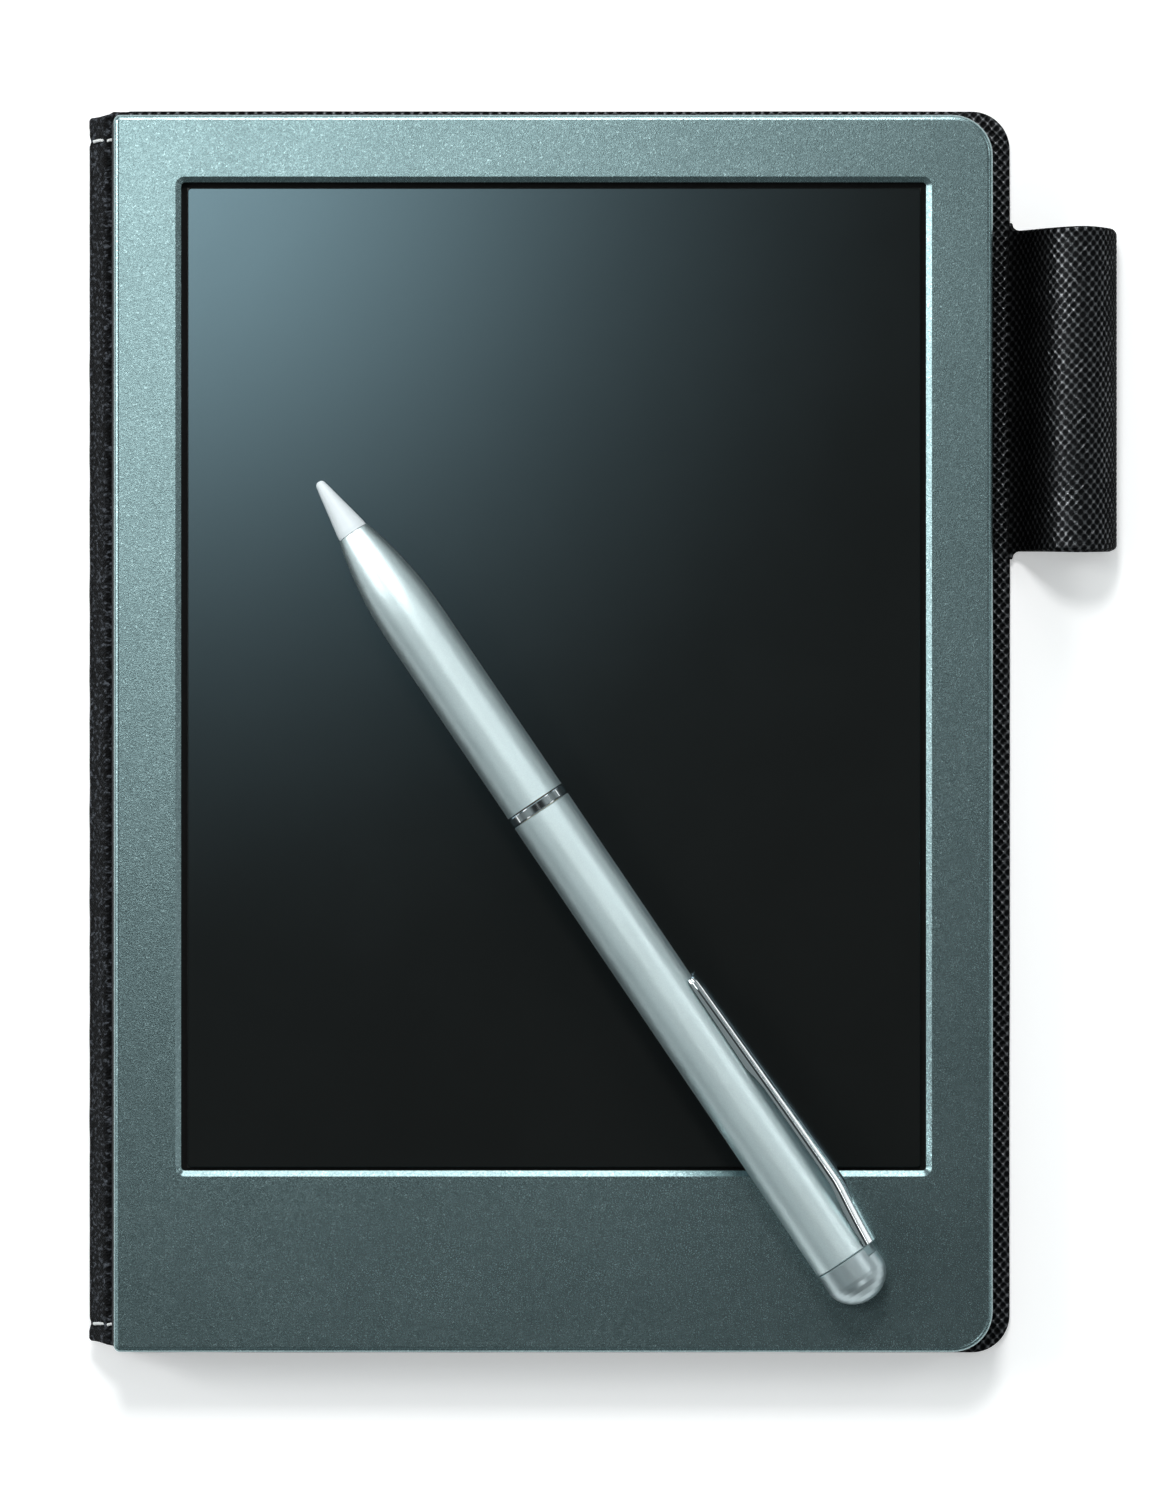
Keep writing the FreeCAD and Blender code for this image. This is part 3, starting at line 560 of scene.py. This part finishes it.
# ----------------------------------------------------------------------------
# cover: one leather skin turned over the board, cloth lining glued inside
# ----------------------------------------------------------------------------
CX0, CX1, CY0, CY1 = lea_lo[0], lea_hi[0], lea_lo[1], lea_hi[1]
# the frame's box takes in the whole corner; the straight edges are the nominal ones
ZT = lea_hi[2]
RC = 4.8
NA, NX, NY = 28, 220, 300
base_ring = rrect(CX0, CX1, CY0, CY1, 1.0, RC, NA, NX, NY)
nr = len(base_ring)
wob = smooth_noise(nr, 60, 0.05, 21) + smooth_noise(nr, 16, 0.04, 22)
prof = [(9.0, ZT - 0.005), (4.5, ZT), (2.6, ZT), (1.5, ZT - 0.005), (0.95, ZT - 0.03), (0.6, ZT - 0.09), (0.33, ZT - 0.2),
        (0.14, ZT - 0.36), (0.04, ZT - 0.52), (0.0, ZT - 0.66), (0.03, ZT - 0.74), (0.10, ZT - 0.78), (0.05, ZT - 0.83),
        (0.03, ZT - 0.95), (0.10, ZT - 1.15), (0.26, ZT - 1.32), (0.5, ZT - 1.43), (0.85, ZT - 1.48), (1.5, ZT - 1.49),
        (2.3, ZT - 1.49), (2.42, ZT - 1.46), (2.45, ZT - 1.25)]
verts = []
for d, z in prof:
    rl = max(0.3, 1.0 - d)
    rr_ = max(0.3, RC - d)
    ring = rrect(CX0 + d, CX1 - d, CY0 + d, CY1 - d, rl, rr_, NA, NX, NY)
    ring = ring.copy()
    fade = max(0.0, 1.0 - d / 3.0)
    nrm = ring - np.array([(CX0 + CX1) / 2, (CY0 + CY1) / 2])
    # outward direction of the outline, good enough for a small wobble
    tang = np.roll(ring, -1, axis=0) - np.roll(ring, 1, axis=0)
    ln = np.linalg.norm(tang, axis=1)
    ln[ln < 1e-9] = 1
    out = np.c_[tang[:, 1], -tang[:, 0]] / ln[:, None]
    ring += out * (wob * fade)[:, None]
    for (x, y) in ring:
        verts.append((x, y, z))
faces = []
np_ = len(prof)
for i in range(np_ - 1):
    for j in range(nr):
        a, b = i * nr + j, i * nr + (j + 1) % nr
        c, d = (i + 1) * nr + (j + 1) % nr, (i + 1) * nr + j
        faces.append((a, d, c, b))
faces.append(tuple(range(nr)))
skin = new_mesh("cover_skin", verts, faces, True)
skin.data.materials.append(M["leather"])
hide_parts("cover_leather")
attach(skin, "cover")

# lining
d0 = 1.55
lprof = [(d0 + 0.25, 0.34), (d0 + 0.06, 0.30), (d0, 0.20), (d0 + 0.05, 0.08), (d0 + 0.22, 0.015), (d0 + 1.2, 0.004), (d0 + 6, 0.004)]
verts = []
for d, z in lprof:
    for (x, y) in rrect(CX0 + d, CX1 - d, CY0 + d, CY1 - d, 0.4, max(0.3, RC - d), NA, NX, NY):
        verts.append((x, y, z))
faces = []
for i in range(len(lprof) - 1):
    for j in range(nr):
        a, b = i * nr + j, i * nr + (j + 1) % nr
        c, d = (i + 1) * nr + (j + 1) % nr, (i + 1) * nr + j
        faces.append((a, d, c, b))
faces.append(tuple(range(nr)))
faces.append(tuple((len(lprof) - 1) * nr + k for k in range(nr - 1, -1, -1)))
lining = new_mesh("cover_lining_cloth", verts, faces, True)
lining.data.materials.append(M["cloth_flat"])
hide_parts("cover_lining")
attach(lining, "cover")

# ----------------------------------------------------------------------------
# pen loop: a band of the same leather bulging up beside the cover
# ----------------------------------------------------------------------------
LY0, LY1 = loop_lo[1], loop_hi[1]
LXR, LZT = loop_hi[0], loop_hi[2]
ctrl = [(56.7, 1.02), (57.4, 1.28), (58.1, 1.72), (58.9, 2.55), (59.8, 4.1), (60.8, 6.05), (61.9, 7.95), (63.3, 9.5),
        (64.9, 10.32), (66.5, 10.5), (67.9, 10.1), (69.1, 9.1), (70.1, 7.5), (70.85, 5.5), (71.18, 3.6), (71.1, 1.9),
        (70.55, 0.72), (69.4, 0.12), (67.0, 0.03), (63.0, 0.03), (60.0, 0.03), (58.0, 0.1), (56.7, 0.45)]
path = resample(catmull(ctrl, 14), 0.10)
nrmp = normals2d(path)          # left of travel; travel is clockwise, so left is outwards
if nrmp[len(path) // 4].dot(np.array([0, 1])) < 0:
    nrmp = -nrmp
TH = 0.78
rr_e = TH / 2
sec = []                        # (y parameter, inward offset): closed section across the band
NYL = 400
for k in range(NYL + 1):
    sec.append((k / NYL, 0.0, 0))
for k in range(1, 9):
    a = math.pi * k / 9
    sec.append((1.0, rr_e * (1 - math.cos(a)), math.sin(a) * rr_e))
NYI = 60
for k in range(NYI + 1):
    sec.append((1 - k / NYI, TH, 0))
for k in range(1, 9):
    a = math.pi * k / 9
    sec.append((0.0, rr_e * (1 + math.cos(a)), -math.sin(a) * rr_e))
sfl = np.r_[0, np.cumsum(np.linalg.norm(np.diff(path, axis=0), axis=1))]
verts, uvs = [], []
s_off = 57.85 - sfl[np.argmin(np.abs(path[:, 0] - 57.85)[: len(path) // 3])]


def y_ends(x, s):
    """Ends of the band: a small web where it leaves the cover, slightly bowed over the crown."""
    r = 1.0
    web = 0.0
    q = x - 57.8
    if q < r:
        q = max(q, 0.0)
        web = r - math.sqrt(max(0.0, r * r - (r - q) ** 2))
    bow = 0.16 * math.exp(-((x - 66.8) / 3.2) ** 2)
    rc = 0.0
    q2 = LXR - x
    if q2 < 0.75:
        rc = 0.75 - math.sqrt(max(0.0, 0.75 ** 2 - (0.75 - q2) ** 2))
    return LY0 + rr_e - web - bow * 0.5 + rc, LY1 - rr_e + web + bow - rc


ys = np.array([q[0] for q in sec])
for i, (p, nn) in enumerate(zip(path, nrmp)):
    on_top = 1.0 if i < len(path) * 0.62 else 1.0
    y0, y1 = y_ends(p[0], sfl[i])
    for (t, off, dy) in sec:
        y = y0 + (y1 - y0) * t + dy
        # soft waviness along the band
        wv = 0.10 * math.sin(y * 0.16 + 0.6) + 0.05 * math.sin(y * 0.47 + 2.0)
        lift = min(1.0, max(0.0, (p[1] - 1.5) / 6.0))
        x = p[0] - nn[0] * off
        z = p[1] - nn[1] * off + wv * lift * 0.6
        verts.append([x, y, z])
        uvs.append((sfl[i] + s_off, y))
verts = np.array(verts)
uva = np.array(uvs)
nsec = len(sec)
outer_mask = np.zeros(nsec)
outer_mask[: NYL + 1] = 1.0
gh = grain_height(uva[:, 0], uva[:, 1])
for i in range(len(path)):
    nn = nrmp[i]
    sl = slice(i * nsec, i * nsec + NYL + 1)
    amp = 0.125 if path[i][1] > 0.3 else 0.0
    if path[i][0] < 58.0:
        amp *= 0.5
    edge = np.clip(np.minimum(np.arange(NYL + 1), NYL - np.arange(NYL + 1)) / 6.0, 0.25, 1)
    verts[sl, 0] += nn[0] * (gh[sl] - 0.8) * amp * edge
    verts[sl, 2] += nn[1] * (gh[sl] - 0.8) * amp * edge
verts[:, 2] = np.maximum(verts[:, 2], 0.004)
faces = []
for i in range(len(path) - 1):
    for j in range(nsec):
        a, b = i * nsec + j, i * nsec + (j + 1) % nsec
        c, d = (i + 1) * nsec + (j + 1) % nsec, (i + 1) * nsec + j
        faces.append((a, b, c, d))
loop = new_mesh("pen_loop_leather", verts, faces, True, uvs)
loop.data.materials.append(M["leather_uv"])
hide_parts("pen_loop")
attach(loop, "cover")

# ----------------------------------------------------------------------------
# spine: one strip of doubled cloth, in three pieces that meet half way along
# the two rigid links and bend over the three hinge lines
# ----------------------------------------------------------------------------
MA = (H1 + H2) / 2
MB = (H2 + H3) / 2
TS = 0.78
raw = [(-54.3, H1[1]), (-55.3, H1[1]), tuple(H1 + np.array([0.12, 0.0])),
       tuple(H1 + (H2 - H1) * 0.22), tuple(MA), tuple(H1 + (H2 - H1) * 0.80),
       tuple(H2 + np.array([-0.02, -0.02])),
       tuple(H2 + (H3 - H2) * 0.18), tuple(MB), tuple(H2 + (H3 - H2) * 0.80), tuple(H3 + np.array([0.08, 0.0])),
       (-54.2, 0.84), (-53.2, 0.84)]
full = resample(catmull(raw, 16), 0.14)
# make the two mid-link points exact
ia = int(np.argmin(np.linalg.norm(full - MA, axis=1)))
ib = int(np.argmin(np.linalg.norm(full - MB, axis=1)))
full[ia], full[ib] = MA, MB
fn = normals2d(full)
if fn[ia][0] > 0:
    fn = -fn
sp = np.r_[0, np.cumsum(np.linalg.norm(np.diff(full, axis=0), axis=1))]
SY0, SY1 = up_lo[1], up_hi[1]
s_h2 = sp[int(np.argmin(np.linalg.norm(full - H2, axis=1)))]


def spine_y(s):
    """The strip is a little longer where it meets the cover."""
    t = (s - s_h2)
    top = SY1 + 0.0 + 0.075 * t * t * (0.3 if t < 0 else 1.0)
    bot = SY0 + 0.35 - 0.06 * t * t * (0.5 if t < 0 else 1.0)
    return max(bot, SY0 - 0.9), min(top, SY1 + 0.95)


def spine_piece(name, i0, i1):
    NYS = 520
    secs = []
    for k in range(NYS + 1):
        secs.append((k / NYS, 1.0, 0.0))
    for k in range(1, 7):
        a = math.pi * k / 7
        secs.append((1.0, math.cos(a), math.sin(a)))
    for k in range(NYS + 1):
        secs.append((1 - k / NYS, -1.0, 0.0))
    for k in range(1, 7):
        a = math.pi * k / 7
        secs.append((0.0, -math.cos(a), -math.sin(a)))
    vs, uv = [], []
    h = TS / 2
    for i in range(i0, i1 + 1):
        p, n = full[i], fn[i]
        y0, y1 = spine_y(sp[i])
        y0 += h
        y1 -= h
        for (t, side, dy) in secs:
            y = y0 + (y1 - y0) * t + dy * h
            hh = h
            # folded hem at each end, then the sewn line that pulls the cloth in
            e = min(y1 + h - y, y - (y0 - h))
            if 0.25 < e < 1.3:
                hh += 0.05
            pinch = 0.0
            for ys_ in (74.6, -74.3):
                pinch += math.exp(-((y - ys_) / 0.42) ** 2) * 0.20
            soft = 0.035 * math.sin(y * 0.9 + 1.3 * side) * math.sin(y * 0.23 + 0.4)
            o = side * (hh - pinch) + soft * (1 if 0.15 < t < 0.85 else 0.3)
            vs.append((p[0] + n[0] * o, y, p[1] + n[1] * o))
            uv.append((sp[i] + (40 if side < 0 else 0), y))
    m = len(secs)
    fs = []
    for i in range(i1 - i0):
        for j in range(m):
            a, b = i * m + j, i * m + (j + 1) % m
            c, d = (i + 1) * m + (j + 1) % m, (i + 1) * m + j
            fs.append((a, b, c, d))
    ob = new_mesh(name, vs, fs, True, uv)
    ob.data.materials.append(M["cloth"])
    return ob


cl_a = spine_piece("spine_cloth_tablet", 0, ia)
cl_b = spine_piece("spine_cloth_fold", ia, ib)
cl_c = spine_piece("spine_cloth_cover", ib, len(full) - 1)
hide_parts("spine_upper_strip", "spine_lower_strip")


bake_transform(cl_a)
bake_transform(cl_b)
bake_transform(cl_c)


# stitching: short stitches of white thread across each end of the strip
def stitches(name, body, a, b, spans):
    vs, fs = [], []
    d = (b - a) / np.linalg.norm(b - a)
    n = np.array([-d[1], d[0]])
    if n[0] > 0:
        n = -n
    L = np.linalg.norm(b - a)
    for ys_ in (74.6, -74.3):
        for side in (1, -1):
            for (f0, f1) in spans:
                NS, NC = 26, 10
                o = len(vs)
                for i in range(NS + 1):
                    t = i / NS
                    s = (f0 + (f1 - f0) * t) * L
                    dip = math.exp(-(t / 0.10) ** 2) + math.exp(-((1 - t) / 0.10) ** 2)
                    lift = TS / 2 - 0.20 + 0.21 - dip * 0.36
                    r = 0.20 * (1 - 0.35 * dip)
                    tw = 0.05 * math.sin(t * 5.5)
                    c = a + d * s + n * lift * side
                    for k in range(NC):
                        ph = 2 * math.pi * k / NC + t * 9
                        rr2 = r * (1 + 0.10 * math.cos(2 * ph - t * 40))
                        vs.append((c[0] + n[0] * rr2 * math.cos(ph), ys_ + tw + rr2 * math.sin(ph),
                                   c[1] + n[1] * rr2 * math.cos(ph)))
                for i in range(NS):
                    for k in range(NC):
                        p, q = o + i * NC + k, o + i * NC + (k + 1) % NC
                        fs.append((p, q, q + NC, p + NC))
    ob = new_mesh(name, vs, fs, True)
    ob.data.materials.append(M["thread"])
    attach(ob, body)
    return ob


st_a = stitches("spine_thread_upper", "spine_upper", H1, H2, [(0.14, 0.86)])
st_b = stitches("spine_thread_lower", "spine_lower", H2, H3, [(0.14, 0.82)])
st_t = stitches("spine_thread_tablet", "tablet", np.array([-54.95, H1[1]]), H1 + np.array([-0.05, -0.02]), [(0.12, 1.0)])
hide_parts("spine_stitches")

# ----------------------------------------------------------------------------
# floor, light, camera
# ----------------------------------------------------------------------------
sc = bpy.context.scene
sc.view_settings.view_transform = "Standard"
sc.view_settings.look = "None"

fm = Mat("pale_floor")
fcol = fm.ramp(fm.noise(fm.coord(), 3.0, 2.0).outputs["Fac"], [(0.3, (0.86, 0.86, 0.86)), (0.7, (0.875, 0.875, 0.875))])
fm.to("Base Color", fcol)
fm.set(Roughness=0.85)
# a light table: the floor glows a little, as for a cut-out catalogue picture
fm.b.inputs["Emission Color"].default_value = (1, 1, 1, 1)
fm.b.inputs["Emission Strength"].default_value = 0.36
fme = bpy.data.meshes.new("floor")
fs_ = 3.0
fme.from_pydata([(-fs_, -fs_, 0), (fs_, -fs_, 0), (fs_, fs_, 0), (-fs_, fs_, 0)], [], [(0, 1, 2, 3)])
floor = bpy.data.objects.new("floor", fme)
floor.data.materials.append(fm.m)
bpy.context.scene.collection.objects.link(floor)
floor.location.z = -0.00002

# the room: bright low down, dark overhead, so that flat glossy faces stay dark
w = bpy.data.worlds.new("studio")
sc.world = w
w.use_nodes = True
nt = w.node_tree
bg = nt.nodes["Background"]
tc = nt.nodes.new("ShaderNodeTexCoord")
sep = nt.nodes.new("ShaderNodeSeparateXYZ")
rp = nt.nodes.new("ShaderNodeValToRGB")
nt.links.new(tc.outputs["Generated"], sep.inputs[0])
nt.links.new(sep.outputs["Z"], rp.inputs["Fac"])
stops = [(0.0, 0.26), (0.16, 0.24), (0.30, 0.15), (0.50, 0.20), (0.65, 0.29), (0.84, 0.29), (0.90, 0.16), (0.94, 0.05), (0.97, 0.028), (1.0, 0.024)]
e = rp.color_ramp.elements
for n, (pos, v) in enumerate(stops):
    k = e[0] if n == 0 else (e[1] if n == 1 else e.new(pos))
    k.position = pos
    k.color = (v * 0.84, v * 0.99, v * 1.02, 1)
# rather more of it from the far side than from the near one
dot = nt.nodes.new("ShaderNodeVectorMath")
dot.operation = "DOT_PRODUCT"
dot.inputs[1].default_value = (-0.42, 0.90, 0.0)
nt.links.new(tc.outputs["Generated"], dot.inputs[0])
gain = nt.nodes.new("ShaderNodeMath")
gain.operation = "MULTIPLY_ADD"
gain.inputs[1].default_value = 0.45
gain.inputs[2].default_value = 1.0
nt.links.new(dot.outputs["Value"], gain.inputs[0])
vm = nt.nodes.new("ShaderNodeVectorMath")
vm.operation = "SCALE"
nt.links.new(rp.outputs["Color"], vm.inputs[0])
nt.links.new(gain.outputs[0], vm.inputs["Scale"])
nt.links.new(vm.outputs["Vector"], bg.inputs["Color"])
bg.inputs["Strength"].default_value = 1.0


def area(name, loc, target, size, power, color=(1, 1, 1), shape="DISK", size_y=None):
    l = bpy.data.lights.new(name, "AREA")
    l.shape = shape
    l.size = size
    if size_y:
        l.size_y = size_y
    l.energy = power
    l.color = color
    o = bpy.data.objects.new(name, l)
    bpy.context.scene.collection.objects.link(o)
    o.location = Vector(loc)
    o.rotation_euler = (Vector(target) - Vector(loc)).to_track_quat("-Z", "Y").to_euler()
    return o


CAM_X, CAM_Y = 2.88, -2.07
FRAME_W = 144.1
LENS = 300.0
ZP = bez_hi[2]
DIST = FRAME_W * LENS / 36.0
# a soft source near the camera axis, up and to the left, brightest in its middle:
# stacked disks whose sum falls off like a bell
hx, hy = -58.0, 80.5
hk = 900.0
kx = hx + (hx - CAM_X) * hk / DIST
ky = hy + (hy - CAM_Y) * hk / DIST
SIG = 0.064
KEY_L = 7.8
radii = [0.35, 0.7, 1.05, 1.4, 1.75, 2.15, 2.6]
vals = [math.exp(-0.5 * r * r) for r in radii]
for n, r in enumerate(radii):
    dl = vals[n] - (vals[n + 1] if n + 1 < len(radii) else 0.0)
    rad = r * SIG
    power = KEY_L * dl * math.pi * math.pi * rad * rad
    area("key_%d" % n, (kx * MM, ky * MM, (ZP + hk + n * 0.5) * MM), (hx * MM, hy * MM, 0.01), 2 * rad, power, (0.93, 1.0, 1.0))


def soft(name, azimuth, from_zenith, power, radius_deg=7.0, dist=1.1, color=(1, 1, 1)):
    """A round soft box seen from the object at this azimuth and angle from straight up."""
    az, ze = math.radians(azimuth), math.radians(from_zenith)
    p = Vector((math.cos(az) * math.sin(ze), math.sin(az) * math.sin(ze), math.cos(ze))) * dist
    return area(name, p, (0, 0, 0.01), 2 * dist * math.tan(math.radians(radius_deg)), power, color)


soft("box_top", 96, 36, 5.3, 6.0)
soft("box_upper_left", 160, 45, 1.4, 6.0)
soft("box_right", 22, 50, 0.8, 8.0)
soft("box_lower", -48, 42, 0.75, 8.0)
area("side_left", (-0.88, 0.18, 0.60), (0, 0, 0.01), 0.34, 3.0, (1, 1, 1), "RECTANGLE", 0.6)
area("side_top", (0.05, 0.95, 0.50), (0, 0, 0.01), 0.6, 2.4, (1, 1, 1), "RECTANGLE", 0.3)
area("side_right", (0.95, -0.15, 0.42), (0, 0, 0.01), 0.3, 0.3, (1, 1, 1), "RECTANGLE", 0.5)

cam = bpy.data.cameras.new("camera")
cam.sensor_fit = "HORIZONTAL"
cam.sensor_width = 36.0
cam.lens = LENS
cam.clip_start = 0.05
cam.clip_end = 20.0
co = bpy.data.objects.new("camera", cam)
bpy.context.scene.collection.objects.link(co)
co.location = (CAM_X * MM, CAM_Y * MM, (ZP + DIST) * MM)
co.rotation_euler = (0, 0, 0)
bpy.context.scene.camera = co
